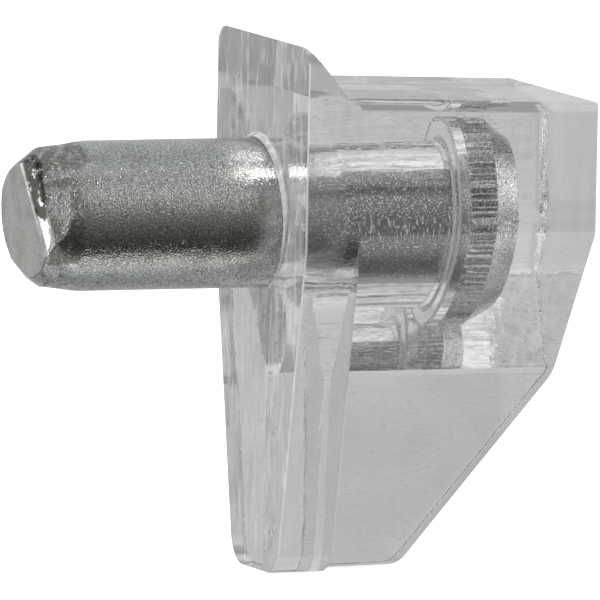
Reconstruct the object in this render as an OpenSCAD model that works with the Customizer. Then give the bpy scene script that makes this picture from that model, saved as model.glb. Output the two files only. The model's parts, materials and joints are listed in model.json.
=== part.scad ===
// Shelf support pin: a steel pin with a knurled head, moulded into a clear body.
// The origin is on the pin's axis, in the plane of the cabinet wall.
// The pin runs into the wall along -X, the body reaches out along +X and the shelf lies on +Z.

/* [Pin] */
// Diameter of the shank, which fills the hole in the cabinet wall
pin_d = 5; // [4:0.1:5.6]
// How far the pin stands out of the body
pin_reach = 8.55; // [6:0.05:14]
// Diameter of the shank at the head, to which its buried stretch draws in
neck_d = 4.9; // [3.6:0.1:4.9]

/* [Pin tip] */
// Diameter of the sheared end face
tip_face_d = 3.8; // [2.6:0.1:4]
// Length of the steep cone behind the end face
tip_cone_l = 0.55; // [0.3:0.05:1]
// Diameter where the steep cone turns into the slim one
tip_mid_d = 4.6; // [4:0.1:4.8]
// Length of the slim cone, which runs out in the shank
tip_slim_l = 1.1; // [0.6:0.1:2]
// How far the cones sit off the axis, towards -Y
tip_offset = 0.18; // [0:0.02:0.3]
// Lean of the sheared end face, in degrees
tip_lean = 5; // [0:1:10]

/* [Knurled head] */
// Diameter over the teeth of the head
head_d = 6.5; // [6:0.1:7.2]
// Distance from the wall plane to the head's shoulder
head_start = 5.7; // [4:0.1:6]
// Length of the smooth collar before the knurl
collar_l = 0.4; // [0.2:0.05:0.8]
// Length of the knurled band
knurl_l = 0.95; // [0.5:0.05:1.4]
// Number of knurl teeth
knurl_teeth = 90; // [36:2:100]
// Depth of the knurl teeth
knurl_depth = 0.09; // [0.04:0.01:0.2]
// Length of the cone at the buried end
head_cone_l = 0.9; // [0.4:0.1:1.2]
// Diameter of the buried end face
head_face_d = 5.2; // [4:0.1:6]

/* [Body] */
// Width of the body across the shelf edge
body_w = 8.76; // [8.4:0.02:12]
// How far the body reaches out from the wall
body_reach = 10.36; // [10:0.02:14]
// Height of the ridge above the pin's axis
ridge_z = 5.88; // [5.4:0.02:8]
// Width of the flat land on top of the ridge
ridge_land = 0.06; // [0.02:0.02:0.3]
// Distance from the wall to where the seat starts
seat_start = 1.44; // [0.8:0.02:1.8]
// Height of the seat above the pin's axis, where it starts
seat_z = 4.2; // [4:0.01:5]
// Fall of the seat away from the wall, in degrees
seat_fall = 1.8; // [0:0.1:4]
// Radius of the seat's long edges
seat_edge_r = 0.4; // [0.05:0.05:0.6]
// Radius of the upright edges of the end face
end_edge_r = 0.3; // [0.05:0.05:0.6]
// Height at which the upright sides fold in towards the rib
fold_z = -0.21; // [-2:0.01:0.5]
// Radius of the fold
fold_r = 1.1; // [0.2:0.1:1.5]

/* [Rim] */
// Length of the low rim of plastic that runs up the shank
rim_l = 0.15; // [0.1:0.05:0.5]
// Thickness of the rim where it leaves the wall plane
rim_w = 0.15; // [0.1:0.05:0.3]
// Lean of the rim, which is longest above the pin, in degrees
rim_lean = 3; // [0:0.5:3]

/* [Back plate] */
// Thickness of the plate that stands against the wall
plate_t = 1.95; // [1.9:0.05:3]
// Depth of the foot below the pin's axis
foot_z = -11.93; // [-16:0.01:-9]
// Width of the plate at its foot
foot_w = 4.25; // [3:0.05:6]
// Height at which the plate starts to narrow
taper_z = -0.8; // [-3:0.1:0]
// Radius of the plate's corners at the ridge
ridge_corner_r = 0.7; // [0.1:0.05:1]
// Radius of the plate's corners at the foot
foot_corner_r = 1.15; // [0.1:0.05:1.2]

/* [Rib] */
// Thickness of the central rib
rib_t = 1.2; // [1:0.05:2]
// Height at which the folded sides meet the rib
rib_top_z = -5.35; // [-6:0.05:-4.6]
// Height at which the end face turns into the slanted edge
slant_z = -5.45; // [-6:0.05:-5.4]
// Reach of the rib at the foot
rib_foot = 4.92; // [3:0.01:7]
// Rise of the foot away from the wall, in degrees
foot_rise = 1.4; // [0:0.1:3]
// Radius of the hollow between a folded side and the rib
rib_hollow_r = 0.7; // [0.1:0.05:1]
// Radius of the corner between the end face and the slanted edge
slant_edge_r = 0.8; // [0.1:0.05:1]
// Radius of the rib's corner at the foot
rib_corner_r = 0.7; // [0.1:0.05:1.2]

/* [Hidden] */
$fn = 96;
// Gap between the steel and the plastic that shrank back from it
gap = 0.03;
// Distance in front of the wall plane at which the shank starts to draw in
draw_start = 0.15;
// Overshoot of a tool past the form that it cuts
over = 1;

shank_r = pin_d / 2;
head_r = head_d / 2;
knurl_start = head_start + collar_l;
knurl_end = knurl_start + knurl_l;
pin_end = knurl_end + head_cone_l;
seat_end_z = seat_z - (body_reach - seat_start) * tan(seat_fall);
rib_foot_z = foot_z + rib_foot * tan(foot_rise);

// Turns a shape that was drawn along +Z so that it lies along +X
module along_x() {
    rotate([0, 90, 0]) children();
}

// Extrudes an outline drawn in Y and Z from one X to another
module extrude_x(from, to) {
    translate([from, 0, 0]) rotate([90, 0, 90]) linear_extrude(height = to - from) children();
}

// Extrudes an outline drawn in X and Z across the whole width
module extrude_y(width) {
    translate([0, width / 2, 0]) rotate([90, 0, 0]) linear_extrude(height = width) children();
}

function unit(v) = v / norm(v);

// What a round tool of radius r takes off the corner at b, between the corners a and c
module corner_waste(a, b, c, r) {
    u = unit(a - b);
    v = unit(c - b);
    half = acos(u * v) / 2;
    reach = r / tan(half);
    difference() {
        polygon([b - over / 100 * unit(u + v), b + u * reach, b + v * reach]);
        translate(b + unit(u + v) * r / sin(half)) circle(r = r);
    }
}

// Draws a shape and its mirror image across the pin's axis
module both_sides() {
    children();
    mirror([1, 0]) children();
}

// ---- the pin ----

// Turned form of the shank and the head, without teeth: [distance from the wall, radius]
function pin_profile(grow) = [
    [-pin_reach - over, 0],
    [-pin_reach - over, shank_r + grow],
    [-draw_start, shank_r + grow],
    [head_start - grow, neck_d / 2 + grow],
    [head_start - grow, head_r + grow],
    [knurl_end + grow / 2, head_r + grow],
    [pin_end + grow, head_face_d / 2 + grow / 2],
    [pin_end + grow, 0]
];

module turned(profile) {
    along_x() rotate_extrude() polygon([for (p = profile) [p[1], p[0]]]);
}

// Outline of the straight knurl: a crest and a root for each tooth.
// The crests pass the turned form, which leaves a narrow land on each tooth.
module knurl_outline() {
    pitch = 360 / knurl_teeth;
    crest_r = head_r + knurl_depth / 4;
    root_r = head_r - knurl_depth;
    polygon([
        for (i = [0:knurl_teeth - 1], side = [0, 1])
            let (r = side == 0 ? crest_r : root_r, a = (i + side / 2) * pitch)
            r * [cos(a), sin(a)]
    ]);
}

// Ring that is cut away so that the teeth stand out of the head
module knurl_waste() {
    translate([knurl_start, 0, 0]) along_x() linear_extrude(height = knurl_l)
        difference() {
            circle(r = head_r + over);
            knurl_outline();
        }
}

// Everything inside the two cones at the tip.
// The steep cone is drawn on past the end face, as far as the leaning cut needs it.
module tip_form() {
    mid_x = tip_cone_l;
    slim_x = mid_x + tip_slim_l;
    steep = (tip_mid_d - tip_face_d) / 2 / tip_cone_l;
    slim = (pin_d - tip_mid_d) / 2 / tip_slim_l;
    lead = tip_face_d / 2 * tan(tip_lean) / (1 + steep * tan(tip_lean)) + over / 20;
    far_x = pin_reach + pin_end + over;
    translate([-pin_reach, -tip_offset, 0]) turned([
        [-lead, 0],
        [-lead, tip_face_d / 2 - lead * steep],
        [mid_x, tip_mid_d / 2],
        [slim_x + over, shank_r + over * slim],
        [slim_x + over, head_d],
        [far_x, head_d],
        [far_x, 0]
    ]);
}

module pin() {
    color("silver") intersection() {
        difference() {
            turned(pin_profile(0));
            knurl_waste();
        }
        tip_form();
        // the shear cut, which leans back towards the foot
        translate([-pin_reach, 0, 0]) rotate([0, -tip_lean, 0])
            translate([0, -body_w, -body_w]) cube([pin_reach + body_reach + over, 2 * body_w, 2 * body_w]);
    }
}

// ---- the bracket ----

// Side view in X and Z: ridge, seat, end face, slanted rib and foot
module side_view() {
    foot = [0, foot_z];
    ridge = [ridge_land, ridge_z];
    seat = [seat_start, seat_z];
    end_top = [body_reach, seat_end_z];
    end_low = [body_reach, slant_z];
    rib_low = [rib_foot, rib_foot_z];
    difference() {
        polygon([foot, [0, ridge_z], ridge, seat, end_top, end_low, rib_low]);
        corner_waste(end_top, end_low, rib_low, slant_edge_r);
        corner_waste(end_low, rib_low, foot, rib_corner_r);
    }
}

// Back plate in Y and Z: upright past the pin, then narrowing to the foot
module plate_view() {
    ridge = [body_w / 2, ridge_z];
    waist = [body_w / 2, taper_z];
    foot = [foot_w / 2, foot_z];
    difference() {
        both_sides() polygon([[0, ridge_z], ridge, waist, foot, [0, foot_z]]);
        both_sides() {
            corner_waste([0, ridge_z], ridge, waist, ridge_corner_r);
            corner_waste(waist, foot, [0, foot_z], foot_corner_r);
        }
    }
}

// Block and rib in Y and Z: upright sides that fold in to the rib
module block_view() {
    top = [body_w / 2, seat_z];
    fold = [body_w / 2, fold_z];
    rib_top = [rib_t / 2, rib_top_z];
    rib_low = [rib_t / 2, foot_z];
    difference() {
        both_sides() polygon([[0, seat_z], top, fold, rib_top, rib_low, [0, foot_z]]);
        both_sides() {
            corner_waste([0, seat_z], top, fold, seat_edge_r);
            corner_waste(top, fold, rib_top, fold_r);
        }
    }
    both_sides() corner_waste(fold, rib_top, rib_low, rib_hollow_r);
}

// What is cut off the upright edges of the end face
module end_edge_waste() {
    translate([0, 0, foot_z - over]) linear_extrude(height = ridge_z - foot_z + 2 * over)
        for (side = [-1, 1])
            corner_waste([0, side * body_w / 2], [body_reach, side * body_w / 2], [body_reach, 0], end_edge_r);
}

// Low cone around the shank, which ends in a lip against the steel
module rim() {
    lip_r = shank_r + gap;
    rotate([0, -rim_lean, 0]) turned([
        [-rim_l, 0],
        [-rim_l, lip_r + rim_w / 3],
        [0, lip_r + rim_w],
        [over, lip_r + rim_w],
        [over, 0]
    ]);
}

module bracket() {
    color([0.85, 0.88, 0.9, 0.4]) difference() {
        union() {
            intersection() {
                extrude_y(body_w + over) side_view();
                union() {
                    extrude_x(0, plate_t) plate_view();
                    extrude_x(0, body_reach) block_view();
                }
            }
            rim();
        }
        turned(pin_profile(gap));
        end_edge_waste();
    }
}

bracket();
pin();
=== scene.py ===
# %% [markdown]
# # A shelf support: a steel pin moulded into a clear body
# The part has two pieces. A steel pin goes into a hole in the cabinet wall, and a clear plastic
# body is moulded round its knurled head. A shelf rests on the body's seat, behind a sharp ridge.
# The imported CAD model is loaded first, because every piece made here stands where the CAD says.

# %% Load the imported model
import json
import math
import random

import bmesh
import bpy
from mathutils import Matrix, Vector


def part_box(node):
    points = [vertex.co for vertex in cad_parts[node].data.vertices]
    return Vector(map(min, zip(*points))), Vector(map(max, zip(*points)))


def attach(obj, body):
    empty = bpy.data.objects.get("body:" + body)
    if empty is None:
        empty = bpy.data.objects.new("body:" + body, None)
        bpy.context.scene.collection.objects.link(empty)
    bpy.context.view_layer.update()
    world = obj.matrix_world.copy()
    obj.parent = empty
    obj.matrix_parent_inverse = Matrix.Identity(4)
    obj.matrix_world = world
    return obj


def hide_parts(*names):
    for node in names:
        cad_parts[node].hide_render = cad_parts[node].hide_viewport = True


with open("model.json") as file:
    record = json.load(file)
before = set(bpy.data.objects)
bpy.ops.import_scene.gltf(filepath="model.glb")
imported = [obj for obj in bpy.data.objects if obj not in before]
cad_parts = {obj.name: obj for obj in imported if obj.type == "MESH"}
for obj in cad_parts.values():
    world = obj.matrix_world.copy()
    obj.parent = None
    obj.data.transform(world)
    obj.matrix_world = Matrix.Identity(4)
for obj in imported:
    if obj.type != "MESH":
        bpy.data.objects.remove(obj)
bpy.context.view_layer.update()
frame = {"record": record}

# %% [markdown]
# ## Sizes
# The operators of edit mode work best on shapes some units across, so each piece is modelled at
# one unit to the millimetre and shrunk to metres when it is finished. X runs out of the wall,
# Y along the shelf's edge and Z up. Sizes that the frame holds are read from it.

# %% The driving sizes, in millimetres
MM = 0.001
TOUCH = 0.01     # places this close count as one
OVER = 1         # how far a blank or a tool reaches past what it shapes
body_low, body_high = [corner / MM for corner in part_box("bracket")]
pin_low, pin_high = [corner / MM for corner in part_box("pin")]
shank_r = frame["record"]["mounts"][0]["dims"]["r_mm"]
half_width = body_high.y
reach = body_high.x
ridge_z = body_high.z
foot_z = body_low.z
head_r = pin_high.z
pin_end = pin_high.x
print(f"Body {2 * half_width:.2f} wide, {reach:.2f} out, {ridge_z - foot_z:.2f} high; pin radius {shank_r}")

# %% [markdown]
# ## Small tools
# An operator acts on all that is selected, and the loaded nodes are selected too. So `only`
# leaves one piece selected, and `pick` selects the parts of a mesh by where they lie.

# %% Selecting
FACING, SQUARE = 0.9, 0.99      # a normal's share of an axis, for about that way and for just that way


def leave_edit():
    if bpy.context.mode != "OBJECT":
        bpy.ops.object.mode_set(mode="OBJECT")


def only(piece):
    leave_edit()
    bpy.ops.object.select_all(action="DESELECT")
    piece.select_set(True)
    bpy.context.view_layer.objects.active = piece
    return piece


def edit(piece):
    only(piece)
    bpy.ops.object.mode_set(mode="EDIT")


def pick(kind, test):
    """Selects the vertices, edges or faces of the piece in edit mode that pass the test."""
    bpy.ops.mesh.select_mode(type=kind)
    bpy.ops.mesh.select_all(action="DESELECT")
    mesh = bmesh.from_edit_mesh(bpy.context.object.data)
    parts = {"VERT": mesh.verts, "EDGE": mesh.edges, "FACE": mesh.faces}[kind]
    found = [part for part in parts if test(part)]
    for part in found:
        part.select_set(True)
    mesh.select_flush_mode()
    bmesh.update_edit_mesh(bpy.context.object.data)
    return len(found)


def along_x(y, z, from_x=-math.inf):
    """A test for edges that run along X at this distance from the middle and this height."""
    def test(edge):
        a, b = [v.co for v in edge.verts]
        on_line = all(abs(abs(c.y) - y) < TOUCH and abs(c.z - z) < TOUCH for c in (a, b))
        return on_line and abs(a.x - b.x) > TOUCH and (a.x + b.x) / 2 > from_x - TOUCH
    return test


print("Tools for selecting are ready")

# %% [markdown]
# Each piece starts as a plain blank and is cut to its form, as on a bench. A box, a plane cut, a
# rounded edge, a turned form and a join are all that this part needs.

# %% Starting and cutting
def block(name, low, high):
    """Adds a box between two corners, as the blank that the operators then shape."""
    leave_edit()
    low, high = Vector(low), Vector(high)
    bpy.ops.mesh.primitive_cube_add(size=1, location=(low + high) / 2, scale=high - low)
    bpy.ops.object.transform_apply()
    bpy.context.object.name = name
    return bpy.context.object


def score(point, normal, **how):
    """Draws the line where a plane crosses the selected faces. The operator wants a unit normal."""
    bpy.ops.mesh.bisect(plane_co=point, plane_no=Vector(normal).normalized(), threshold=1e-5, **how)


def cut(point, normal):
    """Cuts off all that lies beyond a plane, on the side that its normal points to."""
    bpy.ops.mesh.select_all(action="SELECT")
    score(point, normal, use_fill=True, clear_outer=True)


print("Tools for cutting are ready")

# %% Rounding, joining and turning
def round_over(radius, corner_angle, segments):
    """Rounds the selected edges with an arc of this radius that touches both faces."""
    offset = radius / math.tan(math.radians(corner_angle) / 2)
    bpy.ops.mesh.bevel(offset=offset, segments=segments, profile=0.5, affect="EDGES", clamp_overlap=False)


def join_shapes(piece, tool, how):
    """Joins, cuts or intersects a piece with a tool, and throws the tool away."""
    only(piece)
    shape = piece.modifiers.new("shape", "BOOLEAN")
    shape.object, shape.operation, shape.solver = tool, how, "EXACT"
    bpy.ops.object.modifier_apply(modifier=shape.name)
    bpy.data.objects.remove(tool)


def turn(name, stations, sides):
    """Turns a solid round the X axis: a ring of points is extruded from station to station."""
    leave_edit()
    (first_x, first_r), *rest = stations
    bpy.ops.mesh.primitive_circle_add(vertices=sides, radius=first_r, fill_type="NGON",
                                      location=(first_x, 0, 0), rotation=(0, math.pi / 2, 0))
    piece = bpy.context.object
    piece.name = name
    bpy.ops.object.transform_apply()
    edit(piece)
    bpy.ops.mesh.select_all(action="SELECT")
    x, r = first_x, first_r
    for next_x, next_r in rest:
        bpy.ops.mesh.extrude_region_move(TRANSFORM_OT_translate={"value": (next_x - x, 0, 0)})
        bpy.ops.transform.resize(value=(1, next_r / r, next_r / r), center_override=(0, 0, 0))
        x, r = next_x, next_r
    bpy.ops.mesh.select_all(action="SELECT")
    bpy.ops.mesh.normals_make_consistent(inside=False)
    only(piece)
    return piece


print("Tools for shaping are ready")

# %% [markdown]
# ## The clear body
# The body is one moulding, yet it is easiest to see as two drawings that cross. The side drawing
# gives the reach, the slanted rib and the foot. The end drawing gives the back plate, which
# narrows to the foot, and the block, whose sides fold in to a thin rib. Each is extruded across
# the other, and what both have in common is the body.

# %% The sizes of the body
plate_t = 1.95
seat_start, seat_z, seat_fall = 1.44, 4.2, math.radians(1.8)
ridge_land = 0.06
taper_z, foot_half = -0.8, 2.125
fold_z = -0.21
rib_half, rib_top_z = 0.6, -5.35
slant_z, rib_foot, foot_rise = -5.45, 4.92, math.radians(1.4)
rib_foot_z = foot_z + rib_foot * math.tan(foot_rise)
ridge_corner_r, foot_corner_r, fold_r, hollow_r = 0.7, 1.15, 1.1, 0.7
slant_edge_r, rib_corner_r = 0.8, 0.7
arc_steps = 12
flat_angle = math.radians(0.1)      # faces that meet flatter than this are one face


def corner_angle(before, corner, after):
    """The angle between two lines of a drawing that meet at a corner, in degrees."""
    a, c = [Vector(end) - Vector(corner) for end in (before, after)]
    return math.degrees(a.angle(c))


fold_angle = corner_angle((half_width, seat_z), (half_width, fold_z), (rib_half, rib_top_z))
taper_angle = corner_angle((half_width, taper_z), (foot_half, foot_z), (0, foot_z))
slant_angle = corner_angle((reach, seat_z), (reach, slant_z), (rib_foot, rib_foot_z))
toe_angle = corner_angle((reach, slant_z), (rib_foot, rib_foot_z), (0, foot_z))
print(f"The sides fold at {fold_angle:.1f} degrees, the rib slants at {slant_angle:.1f} degrees")

# %% The end drawing: plate, block and rib
end_form = block("end_form", (-OVER, -half_width, foot_z), (plate_t, half_width, ridge_z))
edit(end_form)
taper_slope = (half_width - foot_half) / (taper_z - foot_z)
fold_slope = (half_width - rib_half) / (fold_z - rib_top_z)
for side in (1, -1):
    cut((0, side * half_width, taper_z), (0, side, -taper_slope))
# the outline of the block is scored on the back of the plate, and what lies inside it is drawn out
for side in (1, -1):
    for point, normal in (((0, side * rib_half, 0), (0, 1, 0)),
                          ((0, side * half_width, fold_z), (0, side, -fold_slope))):
        pick("FACE", lambda face: face.normal.x > FACING)
        score(point, normal)


def in_block(face):
    y, z = abs(face.calc_center_median().y), face.calc_center_median().z
    inside_fold = y < half_width - fold_slope * (fold_z - z)
    return face.normal.x > FACING and (inside_fold or y < rib_half)


print("Faces drawn out:", pick("FACE", in_block))
bpy.ops.mesh.extrude_region_move(TRANSFORM_OT_translate={"value": (reach + OVER - plate_t, 0, 0)})
bpy.ops.mesh.select_all(action="SELECT")
bpy.ops.mesh.dissolve_limited(angle_limit=flat_angle)


def on_side(face):
    return abs(face.normal.y) > SQUARE and abs(face.calc_center_median().y) > half_width - TOUCH


# a line up each side at the back of the plate, where the rounding of the folds ends
pick("FACE", on_side)
score((plate_t, 0, 0), (1, 0, 0))
for where, radius, angle in (
        (along_x(half_width, ridge_z), ridge_corner_r, 90),
        (along_x(foot_half, foot_z), foot_corner_r, taper_angle),
        (along_x(half_width, fold_z, plate_t), fold_r, fold_angle),
        (along_x(rib_half, rib_top_z, plate_t), hollow_r, fold_angle)):
    print("Edges rounded:", pick("EDGE", where))
    round_over(radius, angle, arc_steps)

# %% The side drawing: end face, slanted rib and foot
side_form = block("side_form", (0, -half_width - OVER, foot_z - OVER),
                  (reach, half_width + OVER, ridge_z + OVER))
edit(side_form)
cut((reach, 0, slant_z), (slant_z - rib_foot_z, 0, rib_foot - reach))
cut((0, 0, foot_z), (math.tan(foot_rise), 0, -1))


def across(x, z):
    """A test for edges that run across the body at this place in the side drawing."""
    return lambda edge: all(abs(v.co.x - x) < TOUCH and abs(v.co.z - z) < TOUCH for v in edge.verts)


for where, radius, angle in ((across(reach, slant_z), slant_edge_r, slant_angle),
                             (across(rib_foot, rib_foot_z), rib_corner_r, toe_angle)):
    print("Edges rounded:", pick("EDGE", where))
    round_over(radius, angle, arc_steps)

# %% Both drawings crossed, and the seat cut in
body = end_form
body.name = "clear_body"
join_shapes(body, side_form, "INTERSECT")
seat_slope = math.tan(seat_fall)
notch_low = 2       # anywhere under the seat
notch = block("notch", (-2 * OVER, -half_width - OVER, notch_low),
              (reach + OVER, half_width + OVER, ridge_z + 2 * OVER))
edit(notch)
cut((seat_start, 0, seat_z), (-(ridge_z - seat_z), 0, -(seat_start - ridge_land)))
cut((seat_start, 0, seat_z), (-seat_slope, 0, -1))
join_shapes(body, notch, "DIFFERENCE")
print("Body so far:", len(body.data.vertices), "points,", len(body.data.polygons), "faces")

# %% [markdown]
# ## Edges of the moulding
# No moulded edge is a perfect corner. The seat's long edges and the two upright edges of the end
# are clearly round, and the others have a hairline radius that catches the light. The ridge stays
# nearly sharp. A bevel rounds the seat's edges. At the end it would meet those roundings at the
# corners, so there the waste is cut away: a square bar with a round bar taken out of it.

# %% The seat's edges
seat_edge_r, seat_edge_steps = 0.4, 8
edit(body)
bpy.ops.mesh.select_all(action="SELECT")
bpy.ops.mesh.remove_doubles(threshold=1e-4)
bpy.ops.mesh.dissolve_limited(angle_limit=flat_angle)


def at_seat(face):
    on_upper_side = abs(face.normal.y) > SQUARE and face.calc_center_median().z > fold_z
    return face.normal.z > FACING or on_upper_side


pick("FACE", at_seat)
score((plate_t, 0, 0), (1, 0, 0))


def seat_edge(edge):
    middle = (edge.verts[0].co + edge.verts[1].co) / 2
    on_seat = abs(middle.z - (seat_z - (middle.x - seat_start) * seat_slope)) < TOUCH
    return on_seat and abs(abs(middle.y) - half_width) < TOUCH and middle.x > plate_t


print("Seat edges rounded:", pick("EDGE", seat_edge))
round_over(seat_edge_r, 90, seat_edge_steps)

# %% The upright edges of the end
end_edge_r, end_edge_steps = 0.3, 32
bar_l = 40          # a round bar that is longer than the part is high
for side in (1, -1):
    inner_x, inner_y = reach - end_edge_r, side * (half_width - end_edge_r)
    outer_y = side * (half_width + OVER)
    waste = block("waste", (inner_x, min(inner_y, outer_y), foot_z - OVER),
                  (reach + OVER, max(inner_y, outer_y), ridge_z + OVER))
    leave_edit()
    bpy.ops.mesh.primitive_cylinder_add(vertices=end_edge_steps, radius=end_edge_r, depth=bar_l,
                                        location=(inner_x, inner_y, 0))
    join_shapes(waste, bpy.context.object, "DIFFERENCE")
    join_shapes(body, waste, "DIFFERENCE")
print("Upright end edges rounded:", len(body.data.vertices), "points")

# %% The hairline edges
hairline_r, hairline_steps = 0.05, 2
sharp_from = math.radians(25)
ridge_free = 0.9    # how far down from the ridge's top the edges stay sharp


def crisp_edge(edge):
    """Outer edges that are still sharp, apart from the two of the ridge's narrow land."""
    on_ridge = all(v.co.z > ridge_z - ridge_free for v in edge.verts)
    sharp = edge.is_manifold and edge.is_convex and edge.calc_face_angle() > sharp_from
    return sharp and not on_ridge


edit(body)
print("Hairline edges:", pick("EDGE", crisp_edge))
round_over(hairline_r, 90, hairline_steps)

# %% [markdown]
# ## Where the steel goes in
# The plastic shrinks as it sets, so along the smooth shank a hair of air lies between it and the
# steel. That gap matters for the look: where a line of sight meets it at a flat angle the plastic
# mirrors, and only the middle of the shank shows. At the knurl and the end of the head the plastic
# is keyed to the steel and holds on. So the pocket has the pin's own turned form, a hair larger
# along the shank, and a little smaller at the head, where the steel fills it and no air is left.
# In front of the plate a low rim of plastic runs up the shank, longest on the upper side.

# %% The sizes of the pin inside
gap = 0.03          # the air round the shank
bond = 0.12         # how deep the steel stands in the plastic at the knurl and the end
neck_r, head_start = 2.45, 5.7
collar_l, knurl_l = 0.4, 0.95
draw_start = 0.15
knurl_start = head_start + collar_l
knurl_end = knurl_start + knurl_l
head_face_r = 2.6
print(f"The knurl runs from {knurl_start:.2f} to {knurl_end:.2f} and the pin ends at {pin_end:.2f}")

# %% The rim and the pocket
rim_l, rim_w, rim_lean = 0.15, 0.15, math.radians(3)
round_steps = 192
hole_r = shank_r + gap
rim = turn("rim", [(-rim_l, hole_r + rim_w / 3), (0, hole_r + rim_w), (plate_t / 2, hole_r + rim_w)],
           round_steps)
edit(rim)
bpy.ops.mesh.select_all(action="SELECT")
bpy.ops.transform.rotate(value=rim_lean, orient_axis="Y", center_override=(0, 0, 0))
join_shapes(body, rim, "UNION")
pocket = turn("pocket", [(pin_low.x - OVER, hole_r), (-draw_start, hole_r),
                         (head_start - gap, neck_r + gap), (head_start - gap, head_r + gap),
                         (knurl_start - gap, head_r + gap), (knurl_start + gap, head_r - bond),
                         (knurl_end - bond / 2, head_r - bond), (pin_end - bond, head_face_r - bond)],
              round_steps)
join_shapes(body, pocket, "DIFFERENCE")
print("Body with its pocket:", len(body.data.vertices), "points,", len(body.data.polygons), "faces")

# %% [markdown]
# ## Finishing a piece
# A piece is shaded smooth except at its sharp edges. On the body the large flat faces also pull
# the shading of the small roundings to themselves, so that they stay flat mirrors. Then the piece
# is shrunk to metres, and its place is kept in its mesh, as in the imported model.

# %% Shading, and the step to metres
smooth_below = math.radians(30)


def finish_piece(piece, node):
    """Smooths a piece, brings it to metres, hangs it on the root and hides the CAD node that it stands for.
    """
    only(piece)
    bpy.ops.object.shade_smooth_by_angle(angle=smooth_below)
    weights = piece.modifiers.new("weights", "WEIGHTED_NORMAL")
    weights.keep_sharp = True
    bpy.ops.object.modifier_apply(modifier=weights.name)
    piece.scale = (MM, MM, MM)
    bpy.ops.object.transform_apply()
    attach(piece, "root")
    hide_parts(node)
    print(piece.name, "is", [round(side / MM, 2) for side in piece.dimensions], "mm")


finish_piece(body, "bracket")

# %% [markdown]
# ## The steel pin
# The pin starts as drawn wire. A short piece is sheared off, which leaves a leaning end face, and
# its tip is hammered to two rough cones. The other end is upset to a head, and a straight knurl
# is rolled into it so that the plastic can hold it. The whole pin is turned in one go here, with
# five points to each tooth, and the knurl's grooves are then pressed into the ring of the head.

# %% The turned form
teeth = 90
points_per_tooth = 5
knurl_depth = 0.09
knurl_rings = 6
groove_ends = 0.04
neck_fillet = 0.03
edge_r, edge_mid = 0.12, 0.035      # the head's front edge, and how far in its rounding's middle lies
disc_back, disc_out, disc_in = 0.04, 0.02, 0.03     # the small rounding at the rim of the end disc
disc_hub = 0.5
knurl_step = 0.01   # how far the head steps in where the knurl ends
shank_stops = [(pin_low.x - OVER, shank_r), (-draw_start, shank_r), (head_start - neck_fillet, neck_r)]
head_stops = [(head_start, neck_r + neck_fillet), (head_start, head_r - edge_r),
              (head_start + edge_mid, head_r - edge_mid), (head_start + edge_r, head_r),
              (knurl_start, head_r), (knurl_start + groove_ends, head_r)]
head_stops += [(knurl_start + knurl_l * part / knurl_rings, head_r) for part in range(1, knurl_rings)]
head_stops += [(knurl_end - groove_ends, head_r), (knurl_end, head_r - knurl_step),
               (pin_end - disc_back, head_face_r + disc_out), (pin_end, head_face_r - disc_in),
               (pin_end, disc_hub)]
pin = turn("steel_pin", shank_stops + head_stops, teeth * points_per_tooth)
print("Turned pin:", len(pin.data.vertices), "points")

# %% [markdown]
# A knurling wheel never bites evenly. Each tooth gets its own depth, and some grooves start a step
# late. The draw is seeded, so the pin comes out the same each time. Of a tooth's five points the
# fourth is the bottom of the groove, its neighbours are the flanks and the first two are the crest.

# %% The knurl
chance = random.Random(7)
bites = [chance.choice((0.45, 0.7, 0.85, 1.0, 1.1)) for tooth in range(teeth)]
starts = [chance.choice((0, 0, 1)) for tooth in range(teeth)]
bottom, flanks = (3,), (2, 4)
a_hair = 0.001      # keeps a point that lies just on a step from being counted with the one before


def tooth_at(point):
    """The number of the tooth that a point of the head lies on, and which of its points it is."""
    turns = math.atan2(point.z, point.y) / (2 * math.pi) % 1 * teeth + a_hair
    return int(turns) % teeth, int(turns % 1 * points_per_tooth)


def on_groove(bite, steps):
    def test(vert):
        tooth, step = tooth_at(vert.co)
        first = knurl_start + groove_ends / 2 + starts[tooth] * knurl_l / knurl_rings
        in_band = first < vert.co.x < knurl_end - groove_ends / 2
        return in_band and bites[tooth] == bite and step in steps
    return test


edit(pin)
for bite in sorted(set(bites)):
    for steps, depth in ((bottom, knurl_depth), (flanks, knurl_depth / 2)):
        pick("VERT", on_groove(bite, steps))
        shrink = 1 - bite * depth / head_r
        bpy.ops.transform.resize(value=(1, shrink, shrink), center_override=(0, 0, 0))
leave_edit()
print("Grooves pressed into", teeth, "teeth")

# %% [markdown]
# ## The tip
# The hammered cones are made as a form of their own, uneven and a little off the axis. What it has
# in common with the pin is kept, so the line where the cone runs out in the shank wanders as it
# does on a real pin. Clouds noise moves the points of the form in and out.

# %% The hammered cones
tip_x = -8.464
tip_face_r, tip_mid_r = 1.868, 2.303
tip_cone_l, tip_slim_l, tip_offset = 0.608, 1.418, 0.148
steep = (tip_mid_r - tip_face_r) / tip_cone_l
slim = (shank_r - tip_mid_r) / tip_slim_l
lead = 0.5          # the form starts this far in front of the pin's end
cone_steps, slim_steps, slim_step_l = 8, 18, 0.15
cone_step_l = (tip_cone_l + lead) / cone_steps
tip_sides = 120
dent_spacing, dent_depth = 0.7, 0.08
cone_stops = [(tip_x - lead + step * cone_step_l, tip_face_r + steep * (step * cone_step_l - lead))
              for step in range(cone_steps + 1)]
slim_stops = [(tip_x + tip_cone_l + slim_step_l * step, tip_mid_r + slim * slim_step_l * step)
              for step in range(1, slim_steps + 1)]
wide = [(slim_stops[-1][0], head_r + OVER), (pin_end + OVER, head_r + OVER)]
tip_form = turn("tip_form", cone_stops + slim_stops + wide, tip_sides)
clouds = bpy.data.textures.new("hammer_marks", "CLOUDS")
clouds.noise_scale = dent_spacing
dents = tip_form.modifiers.new("dents", "DISPLACE")
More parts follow.
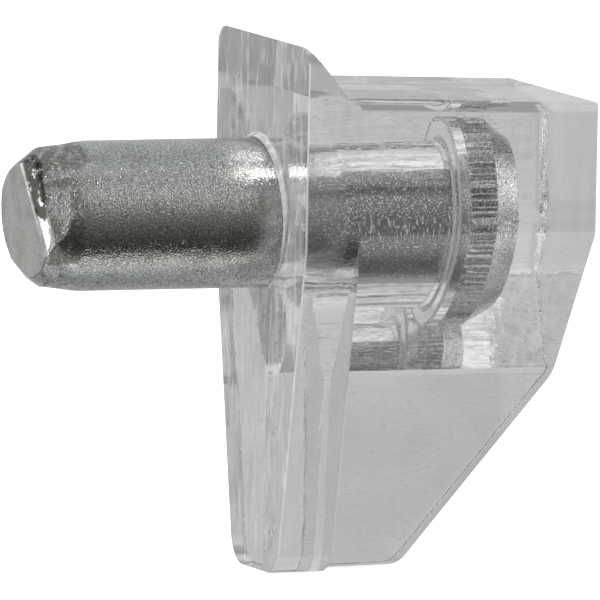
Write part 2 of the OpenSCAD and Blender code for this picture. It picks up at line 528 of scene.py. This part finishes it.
dents.texture, dents.strength, dents.mid_level = clouds, dent_depth, 0.5
bpy.ops.object.modifier_apply(modifier=dents.name)
edit(tip_form)
bpy.ops.mesh.select_all(action="SELECT")
bpy.ops.transform.translate(value=(0, -tip_offset, 0))
join_shapes(pin, tip_form, "INTERSECT")
print("Tip hammered:", len(pin.data.vertices), "points")

# %% [markdown]
# The join leaves the points in another order each time. That doesn't move them, but the flats cut
# next would be divided and shaded in another way. So the points are sorted by how far they are
# from one far place that lies on no axis, and each run then gives the same pin. Another place
# divides the flats in another way. This one was found by trying several, and it leaves a thin
# strip of light beside the end face.

# %% The points in a fixed order
sort_from = (-37, 24, 32)
bpy.context.scene.cursor.location = sort_from
edit(pin)
bpy.ops.mesh.select_all(action="SELECT")
bpy.ops.mesh.sort_elements(type="CURSOR_DISTANCE", elements={"VERT", "EDGE", "FACE"})
leave_edit()
print("Sorted", len(pin.data.vertices), "points by their distance from", sort_from)

# %% [markdown]
# The blows leave a few flats on the cones, and the shears leave the end face leaning. Each flat is
# one plane cut. A plane is given by two angles and by how far it lies from the origin.

# %% The hammered facets and the sheared face
# each facet: how far round the pin it sits, how steep it is, and its distance from the origin
facets = ((165, 68, 8.183), (158, 50, 7.31), (200, 47, 7.44), (222, 30, 5.96), (130, 30, 5.96),
          (51, 51.6, 7.95), (280, 55.4, 7.88))
edit(pin)
for turned, slope, away in facets:
    turned, slope = math.radians(turned), math.radians(slope)
    out = Vector((-math.sin(slope), math.cos(slope) * math.cos(turned), math.cos(slope) * math.sin(turned)))
    cut(out * away, out)
shear_y, shear_z = 0.072, 0.077
cut((tip_x, 0, 0), (-1, -shear_y, -shear_z))
leave_edit()
print("Pin:", len(pin.data.vertices), "points,", len(pin.data.polygons), "faces")
finish_piece(pin, "pin")

# %% [markdown]
# ## Writing materials
# A material is a sheet of sums on patterns. `Graph` adds nodes to a material and `Socket` stands
# for one output, on which ordinary sums can be written, so `1 - mask` adds a Math node.

# %% Sockets that can be added and multiplied
class Socket:
    def __init__(self, graph, socket):
        self.graph, self.socket = graph, socket

    def math(self, how, *others):
        return self.graph.node("Math", {"operation": how}, dict(enumerate((self,) + others)))

    def flipped(self, how, other):
        return self.graph.node("Math", {"operation": how}, {0: other, 1: self})

    def __add__(self, other): return self.math("ADD", other)
    def __sub__(self, other): return self.math("SUBTRACT", other)
    def __mul__(self, other): return self.math("MULTIPLY", other)
    def __truediv__(self, other): return self.math("DIVIDE", other)
    def __rsub__(self, other): return self.flipped("SUBTRACT", other)
    __radd__, __rmul__ = __add__, __mul__

    def ramp(self, low, high, smooth=True):
        """0 below `low`, 1 above `high`, and in between a straight or a soft rise."""
        how = "SMOOTHSTEP" if smooth else "LINEAR"
        return self.graph.node("MapRange", {"interpolation_type": how},
                               {"Value": self, "From Min": low, "From Max": high})

    def near(self, value, low, high):
        """1 within `low` of a value, and 0 from `high` away."""
        return 1 - (self - value).math("ABSOLUTE").ramp(low, high)

# %% The sheet that holds the nodes
class Graph:
    def __init__(self, tree):
        self.tree = tree
        tree.nodes.clear()

    def node(self, kind, settings=None, values=None, out=0):
        """Adds a node: its settings first, then a value or a link for each socket."""
        node = self.tree.nodes.new("ShaderNode" + kind)
        for name, value in (settings or {}).items():
            if name == "stops":
                ramp = node.color_ramp
                while len(ramp.elements) < len(value):
                    ramp.elements.new(1)
                for element, (place, color) in zip(ramp.elements, value):
                    element.position, element.color = place, (*color, 1)
            else:
                setattr(node, name, value)
        for name, value in (values or {}).items():
            if isinstance(value, Socket):
                self.tree.links.new(value.socket, node.inputs[name])
            else:
                node.inputs[name].default_value = value
        return Socket(self, node.outputs[out])

    def noise(self, place, scale, detail=2.0, rough=0.5, stretch=None):
        """Clouds from 0 to 1, `scale` of them to the millimetre, that can be stretched on an axis."""
        if stretch:
            place = self.node("VectorMath", {"operation": "MULTIPLY"}, {0: place, 1: stretch})
        return self.node("TexNoise", None,
                         {"Vector": place, "Scale": scale, "Detail": detail, "Roughness": rough})

    def blend(self, mask, first, second):
        """Goes from the first colour to the second as the mask goes from 0 to 1."""
        colors = {name: (*color, 1) if isinstance(color, tuple) else color
                  for name, color in ((6, first), (7, second))}
        return self.node("Mix", {"data_type": "RGBA"}, {0: mask, **colors}, out=2)

    def bump(self, height):
        """A surface that stands out by this many millimetres."""
        return self.node("Bump", None, {"Height": height * MM, "Strength": 1.0, "Distance": 1.0})

    def place_in_mm(self):
        coords = self.node("TexCoord", out=3)
        return self.node("VectorMath", {"operation": "SCALE"}, {0: coords, "Scale": 1 / MM})

    def finish(self, surface, kind="Material"):
        output = self.tree.nodes.new("ShaderNodeOutput" + kind)
        self.tree.links.new(surface.socket, output.inputs["Surface"])

# %% Starting a material and putting it on
def new_material(name):
    material = bpy.data.materials.new(name)
    material.use_nodes = True
    return material, Graph(material.node_tree)


def split(graph, vector):
    parts = graph.node("SeparateXYZ", None, {0: vector})
    return [Socket(graph, socket) for socket in parts.socket.node.outputs]


def paint(piece, material):
    piece.data.materials.clear()
    piece.data.materials.append(material)
    print(piece.name, "is painted with", len(material.node_tree.nodes), "nodes")


print("Tools for materials are ready")

# %% [markdown]
# ## Clear plastic
# The body is polycarbonate as it leaves the mould: a clear, faintly grey plastic that bends light
# strongly. It is not perfect glass. Slow waves show where it sank as it cooled. Fine flow lines
# run along the block and up the plate and the end, and small scratches and dull spots catch the
# light. A bump does for all of these, because none is deep enough to change an outline.

# %% What the mould left on the plastic
clear, g = new_material("clear_plastic")
place = g.place_in_mm()
x, y, z = split(g, place)
sink_depth, flow_depth, scratch_depth = 0.09, 0.02, 0.002
sink = g.noise(place, 0.3, 1.0)
cloudy = g.noise(place, 0.16, 2.0).ramp(0.3, 0.7)
# the melt ran upright in the plate and in the outer end, and outward in the block between them
ran_up = x.ramp(7.8, 8.8) + (1 - x.ramp(1.8, 2.1))
flow_up = g.noise(place, 1.2, 3.0, stretch=(1.8, 1.8, 0.15))
flow_out = g.noise(place, 1.2, 3.0, stretch=(0.2, 1.6, 2.4)) * (0.08 + z.ramp(-5.6, -4.6) * 0.6)
flow = flow_out * (1 - ran_up) + flow_up * ran_up
scratch = g.noise(place, 5.0, 2.0, stretch=(0.5, 1.0, 6.0)).ramp(0.62, 0.70)
spots = g.noise(place, 3.2, 4.0, 0.65).ramp(0.60, 0.72)
waves = g.bump(sink * sink_depth + flow * flow_depth - scratch * scratch_depth)
print("The plastic sinks by up to", sink_depth, "mm and its flow lines stand", flow_depth, "mm high")

# %% [markdown]
# ## Where the plastic is milky, and where highlights are painted
# The back plate is a little milky, with whiter streaks on the face that lay against the mould.
# The streaks are partly the mould's marks and partly painted highlights. The sharp edges of the
# plate and the end of the rim are painted white as highlights. Inside, the two corners of the
# pocket at the head's shoulder stayed dull, and show as two silvery rings. Rougher plastic would
# only blur what is behind it. So a dull white surface is mixed into the clear one, and a mask
# says how much of it there is at each place.

# %% How much of the surface is dull, and where highlights are painted white
# whiter upright streaks on the mould face: partly the mould's own marks, partly painted highlights
streaks_and_painted_highlights = g.noise(place, 2.2, 3.0, stretch=(1.0, 1.4, 0.3)).ramp(0.50, 0.66) * (1 - x.ramp(0.02, 0.10))
in_plate = (1 - x.ramp(plate_t - 0.15, plate_t)) * (y + half_width).ramp(0.08, 0.28)
milk_and_painted_highlights = in_plate * (0.09 + cloudy * 0.05 + spots * 0.05 + streaks_and_painted_highlights * 0.34)

neck_wall, head_wall = neck_r + gap, head_r + gap
from_axis = (y * y + z * z).math("SQRT")
inner_ring = 1 - from_axis.ramp(neck_wall + 0.14, neck_wall + 0.20)
outer_ring = (from_axis.ramp(head_wall - 0.16, head_wall - 0.10)
              * (1 - from_axis.ramp(head_wall + 0.04, head_wall + 0.08)))
shoulder = x.near(head_start - gap, 0.05, 0.08) * (inner_ring + outer_ring)

# painted highlight: the end of the rim is painted white
rim_end_highlight = 1 - x.ramp(-rim_l * 0.7, -rim_l * 0.2)
narrowing = (taper_z - z).math("MAXIMUM", 0) * taper_slope
from_side = half_width - y.math("ABSOLUTE") - narrowing
# painted highlights: the sharp edges of the plate are painted white
wall_edge = 1 - x.ramp(0.02, 0.08)
plate_edge = x.near(plate_t, 0.02, 0.07) * (1 - z.ramp(slant_z - 0.25, slant_z - 0.05))
edge_highlights = (1 - from_side.ramp(0.02, 0.08)) * (wall_edge + plate_edge)

swirl = g.noise(place, 1.5, 3.0, 0.6)
# how much dull white there is: real milk and frost, plus painted highlights on the streaks, edges and rim
dull_and_painted_white = (milk_and_painted_highlights + shoulder * (0.55 + swirl * 0.5) + rim_end_highlight * swirl.ramp(0.3, 0.6) * 0.5
        + edge_highlights * (0.35 + swirl * 0.4))
print(f"Dull rings at radius {neck_wall:.2f} and {head_wall:.2f}, {head_start - gap:.2f} mm in")

# %% The clear plastic
water_clear, tinted, spotted = (0.90, 0.887, 0.905), (0.965, 0.952, 0.968), (0.84, 0.83, 0.85)
veil = g.blend(ran_up, cloudy, flow.ramp(0.35, 0.6))
surface = g.node("BsdfPrincipled", None, {
    "Base Color": g.blend(spots * 0.4, g.blend(veil, water_clear, tinted), spotted),
    "Roughness": 0.004 + spots * 0.03 + scratch * 0.04,
    "IOR": 1.57, "Transmission Weight": 1.0, "Normal": waves})
# a dull white surface, for the frost and for the painted highlights
frost_and_painted_white = g.node("BsdfDiffuse", None, {"Color": (0.93, 0.92, 0.93, 1), "Normal": waves})
g.finish(g.node("MixShader", None, {0: dull_and_painted_white, 1: surface, 2: frost_and_painted_white}))
paint(body, clear)

# %% [markdown]
# ## Plated steel
# The pin is zinc-plated steel. The plating is fine-grained and tumbled with thousands of others, so
# it glitters in specks, with short scratches both ways and dull grey patches. The hammered cones
# at the tip are rough, and grime sits in their dents. It is thickest where the shears bit first,
# on the lower part of one side. The masks below say where each of these lies.

# %% Grain, dents and grime on the steel
steel, g = new_material("plated_steel")
place = g.place_in_mm()
x, y, z = split(g, place)
at_tip = 1 - x.ramp(-7.4, -6.9)
face_out = x + y * shear_y + z * shear_z
on_face = 1 - face_out.ramp(tip_x + 0.024, tip_x + 0.064)
on_cone = (1 - (x - z.ramp(1.6, 2.1) * 0.5).ramp(-7.3, -7.0)) * (1 - on_face)
bitten = (1 - x.ramp(-8.20, -8.10)) * (1 - y.ramp(-0.3, 0.3))

grain = g.noise(place, 18.0, 1.0, 0.6)
tumble = g.noise(place, 5.0, 3.0, 0.6)
drawn = g.noise(place, 2.0, 3.0, stretch=(0.25, 5.0, 5.0))
patches = g.noise(place, 0.9, 3.0, 0.6).ramp(0.45, 0.65)
nicks = g.noise(place, 4.5, 1.0, stretch=(2.4, 0.7, 0.7)).ramp(0.66, 0.72) * (1 - on_face)
smears = g.noise(place, 0.8, 4.0, 0.6).ramp(0.40, 0.65) * on_face

# what is added to the grime's noise: more above the middle, in a band below it and at the top
above = z.ramp(-0.1, 0.3)
below = (1 - above) * z.ramp(-1.5, -1.3)
more_bitten = above * 0.28 - 0.14
more_rest = below * 0.15 + z.ramp(0.8, 1.3) * 0.07 + z.ramp(1.5, 1.9) * 0.05 - 0.03
more = bitten * more_bitten + (1 - bitten) * more_rest
grime = (g.noise(place, 2.8, 4.0, 0.65) + more).ramp(0.46, 0.62) * on_cone

gripped = x.ramp(-2.4, -1.2) * (1 - x.ramp(0.0, 0.1))
fine = 1 - at_tip * 0.5 - on_face * 0.4 - gripped * 0.5
dents = g.bump((grain * 0.014 + tumble * 0.010) * fine + drawn * 0.003 - nicks * 0.006 + grime * 0.008)
print("The end face starts", tip_x, "mm along the pin")

# %% [markdown]
# Inside the plastic the plating never rubbed against other pins. It kept a darker skin, in which
# single grains glitter, and the knurled head, which was rolled bright, ends it.

# %% The plated steel
grey, dull_grey, bright = (0.47, 0.48, 0.47), (0.41, 0.41, 0.39), (0.95, 0.96, 0.95)
dark_skin, glint = (0.25, 0.265, 0.25), (0.88, 0.89, 0.86)
light_soot, dark_soot = (0.17, 0.16, 0.14), (0.03, 0.028, 0.025)
specks = grain.ramp(0.42, 0.72) * (1 - on_face * 0.7)
plating = g.blend(specks, g.blend(patches, grey, dull_grey), bright)
inside = x.ramp(0.2, 0.5) * (1 - x.ramp(head_start - 0.05, head_start + 0.05))
plating = g.blend(inside, plating, g.blend(grain.ramp(0.54, 0.64), dark_skin, glint))
covered = grime * (0.65 + bitten * 0.3) + nicks * 0.6 + smears * 0.25
g.finish(g.node("BsdfPrincipled", None, {
    "Base Color": g.blend(covered, plating, g.blend(bitten, light_soot, dark_soot)),
    "Metallic": 1.0,
    "Roughness": 0.12 + patches * 0.08 + grime * 0.2 + on_face * 0.3 - at_tip * 0.04,
    "Normal": dents}))
paint(pin, steel)

# %% [markdown]
# ## The camera
# A small part is shown best by a long lens from far away, which keeps its edges nearly parallel.
# The camera looks a little down and from the side of the wall, so that the pin, the end face of
# the steel and the head inside the plastic all show. Its directions are worked out from three
# angles, and they are the columns of its matrix.

# %% The camera
view_az, view_el, view_roll = math.radians(20.4743), math.radians(6.1061), math.radians(1.1062)
aim_right, aim_up, far = 1.3103, -2.9175, 942.51
lens_mm, film_mm = 1700, 36
towards = Vector((-math.sin(view_az) * math.cos(view_el),
                  -math.cos(view_az) * math.cos(view_el), math.sin(view_el)))
level = Vector((math.cos(view_az), -math.sin(view_az), 0))
over = towards.cross(level)
right = math.cos(view_roll) * level + math.sin(view_roll) * over
up = math.cos(view_roll) * over - math.sin(view_roll) * level
lens_data = bpy.data.cameras.new("camera")
lens_data.lens, lens_data.sensor_width = lens_mm, film_mm
lens_data.clip_start, lens_data.clip_end = 0.1, 10
camera = bpy.data.objects.new("camera", lens_data)
bpy.context.scene.collection.objects.link(camera)
stand = (right * aim_right + up * aim_up + towards * far) * MM
camera.matrix_world = Matrix.Translation(stand) @ Matrix((right, up, towards)).transposed().to_4x4()
bpy.context.scene.camera = camera
print("The camera stands", round(stand.length, 3), "m away")

# %% [markdown]
# ## The floor
# The part stands on its foot on a pale floor. Where the camera looks at it the floor glows up to
# white, and it still takes the shadow, because the glow is added to the paint. Metal and glass
# don't see the floor: they get all their light from the world, which can then be drawn freely.

# %% The floor
floor_size, floor_gap = 3, 0.00002      # in metres
floor_z = body_low.z * MM - floor_gap
leave_edit()
bpy.ops.mesh.primitive_plane_add(size=floor_size, location=(0, 0, floor_z))
floor = bpy.context.object
floor.name = "floor"
pale, g = new_material("pale_floor")
sight = g.node("LightPath", out=0)
chalk = g.node("BsdfDiffuse", None, {"Color": (0.8, 0.8, 0.8, 1)})
glow = g.node("Emission", None, {"Color": (1, 1, 1, 1), "Strength": 0.8})
lit = g.node("AddShader", None, {0: chalk, 1: glow})
g.finish(g.node("MixShader", None, {0: sight, 1: chalk, 2: lit}))
paint(floor, pale)
floor.visible_glossy = False
floor.visible_transmission = False

# %% [markdown]
# ## The light round the part
# Metal and clear plastic have hardly any colour of their own. They look like what they mirror and
# what is seen through them, so that is drawn here as rings of soft light and dark gaps round the
# pin. The steel mirrors one ring. What is seen through the plastic comes from another, which goes
# over into a second and a third ring to the left and to the right, and a few soft boxes and a
# window lie on top. Dull surfaces get one plain grey, and the camera itself sees white.

# %% The rings of light
world = bpy.data.worlds.new("studio")
bpy.context.scene.world = world
world.use_nodes = True
g = Graph(world.node_tree)
direction = g.node("TexCoord", out=0)
dx, dy, dz = split(g, direction)
# the angle round the pin, in degrees: 0 level in front, 90 overhead, 180 behind
round_pin = dz.math("ARCTAN2", dy * -1) * (180 / math.pi)
plain, cool, olive = (1.0, 1.0, 1.0), (0.97, 1.0, 1.02), (1.03, 1.0, 0.93)
# each ring is a list of angles with the tone and the tint there
mirrored = ((-180, 0.62, plain), (-150, 0.46, plain), (-116, 0.30, cool), (-88, 0.48, cool),
            (-80, 0.85, plain), (-69, 1.0, olive), (-64, 0.5, olive), (-60, 0.03, olive),
            (-30, 0.07, olive), (-8, 0.15, olive), (10, 0.24, olive), (30, 0.26, olive),
            (48, 0.24, plain), (64, 0.38, plain), (76, 0.62, plain), (95, 0.42, cool),
            (125, 0.52, cool), (180, 0.62, plain))
straight = ((-180, 0.52, plain), (-165, 0.52, plain), (-150, 0.56, plain), (-120, 0.56, plain),
            (-98, 0.12, cool), (-67, 0.02, plain), (-42, 0.04, plain), (-18, 0.20, plain),
            (10, 0.29, olive), (30, 0.34, olive), (50, 0.50, cool), (80, 0.62, plain),
            (115, 0.60, plain), (145, 0.48, plain), (180, 0.52, plain))
# the side rings are plain, with one tone every 30 degrees from -180
ring_step = 30
leftward = (0.50, 0.72, 0.68, 0.74, 0.78, 0.92, 0.92, 0.70, 0.46, 0.42, 0.70, 0.58)
rightward = (0.62, 0.78, 0.60, 0.20, 0.15, 0.30, 0.52, 0.94, 0.98, 0.88, 1.15, 0.78)


def light_ring(stops):
    stops = [((angle + 180) / 360, tuple(tone * part for part in tint)) for angle, tone, tint in stops]
    return g.node("ValToRGB", {"stops": stops}, {0: (round_pin + 180) / 360})


def plain_ring(tones):
    """Closes the ring by giving its first tone again at the end."""
    closed = tones + tones[:1]
    return light_ring([(ring_step * step - 180, tone, plain) for step, tone in enumerate(closed)])


print("Rings of", len(mirrored), "and", len(straight), "stops, and two of", len(leftward))

# %% Soft boxes, a window and the whole sky
def patch(ray, half_angle, edge):
    """A round patch of the sky: 1 within this many degrees of the ray, with a soft edge."""
    ray = Vector(ray).normalized()
    facing = dx * ray.x + dy * ray.y + dz * ray.z
    return facing.ramp(math.cos(math.radians(half_angle + edge)), math.cos(math.radians(half_angle)))


def grey_tone(tone):
    return (tone, tone, tone)


soft_box = patch((-0.93, -0.36, 0.05), 24, 20)
dark_box = patch((0.46, 0.80, -0.38), 11, 10)
window = patch((0.85, 0.18, 0.5), 6, 6)
tip_window = patch((-0.894, 0.446, 0.024), 14, 5)
window_tone = grey_tone(2.4)
right_side = dx.ramp(0.15, 0.6, False)
left_side = (dx * -1).ramp(0.0, 0.45, False)
behind = 1 - dy.ramp(0.4, 0.8)
mottle = g.noise(direction, 9.0, 3.0).ramp(0.35, 0.65) - 0.5

seen_through = g.blend(right_side, light_ring(straight), plain_ring(rightward))
seen_through = g.blend(left_side, seen_through, plain_ring(leftward))
seen_through = g.blend(soft_box, seen_through, grey_tone(0.95))
seen_through = g.blend(dark_box, seen_through, grey_tone(0.30))
uneven = 1 + mottle * (0.12 + behind * 0.5)
seen_through = g.node("VectorMath", {"operation": "SCALE"}, {0: seen_through, "Scale": uneven})
seen_through = g.blend(window, seen_through, window_tone)
in_steel = g.blend(tip_window, light_ring(mirrored), window_tone)

# which kind of ray asks: the camera's own, one off a mirror or one out of the plastic
by_camera = g.node("LightPath", out=0)
by_mirror = g.node("LightPath", out=3)
by_plastic = g.node("LightPath", out=6)
shining = g.blend(by_plastic, in_steel, seen_through)
colour = g.blend(by_mirror.math("MAXIMUM", by_plastic), (0.62, 0.62, 0.63), shining)
colour = g.blend(by_camera, colour, grey_tone(1.0))
g.finish(g.node("Background", None, {"Color": colour, "Strength": 1.0}), "World")
print("The sky has", len(world.node_tree.nodes), "nodes")

# %% [markdown]
# ## The lamps
# A key lamp over the front gives the soft shadow and the plated steel its shine, and a larger,
# weaker one fills from the other side. Both are hidden from rays through the plastic, where their
# squares would show as hard shapes.

# %% The lamps
def soft_lamp(name, ray, distance, size, watts):
    """A square area lamp that looks at the part from this direction, in metres and watts."""
    data = bpy.data.lights.new(name, "AREA")
    data.size, data.energy = size, watts
    lamp = bpy.data.objects.new(name, data)
    bpy.context.scene.collection.objects.link(lamp)
    ray = Vector(ray).normalized()
    aim = ray.to_track_quat("Z", "Y").to_matrix().to_4x4()
    lamp.matrix_world = Matrix.Translation(ray * distance) @ aim
    lamp.visible_camera = False
    lamp.visible_transmission = False
    print(name, "gives", watts, "W from", distance, "m")


soft_lamp("key_lamp", (-0.37, -0.33, 0.87), distance=0.5, size=0.12, watts=0.8)
soft_lamp("fill_lamp", (0.6, -0.6, 0.5), distance=0.6, size=0.4, watts=0.25)

# %% [markdown]
# ## Closing
# The colours go out as they are lit. Light crosses many walls of plastic before it leaves the
# body, so it may bounce more often than usual.

# %% Output settings and sizes
scene = bpy.context.scene
scene.view_settings.view_transform = "Standard"
scene.cycles.max_bounces = 24
scene.cycles.glossy_bounces = 16
scene.cycles.transmission_bounces = 24
leave_edit()
bpy.ops.object.select_all(action="DESELECT")
